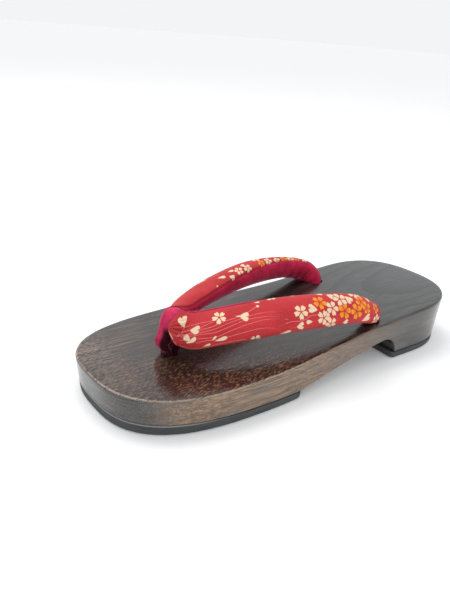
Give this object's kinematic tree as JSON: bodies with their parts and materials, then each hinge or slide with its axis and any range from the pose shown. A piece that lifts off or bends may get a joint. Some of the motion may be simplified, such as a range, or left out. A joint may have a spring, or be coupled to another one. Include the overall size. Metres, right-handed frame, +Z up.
{
  "type": "geta sandal",
  "caption": "Low wooden geta sandal with a heel block, rubber soles and padded V-shaped thong straps held at the toe by a velvet loop.",
  "frame": {"origin": "on the floor under the middle of the sandal's box", "axes": "+X from heel to toe, +Y to the wearer's left, +Z up"},
  "size_m": [0.235, 0.0914, 0.0472],
  "materials": {
    "wood": "dark stained wood under a worn glossy lacquer",
    "rubber": "matte dark grey rubber",
    "print": "matte red cotton with a printed blossom pattern",
    "velvet": "crimson velvet with a short nap"
  },
  "bodies": {
    "root": {"deck": "wood", "front_sole": "rubber", "heel_pad": "rubber", "straps": "print", "toe_loop": "velvet"}
  },
  "joints": []
}
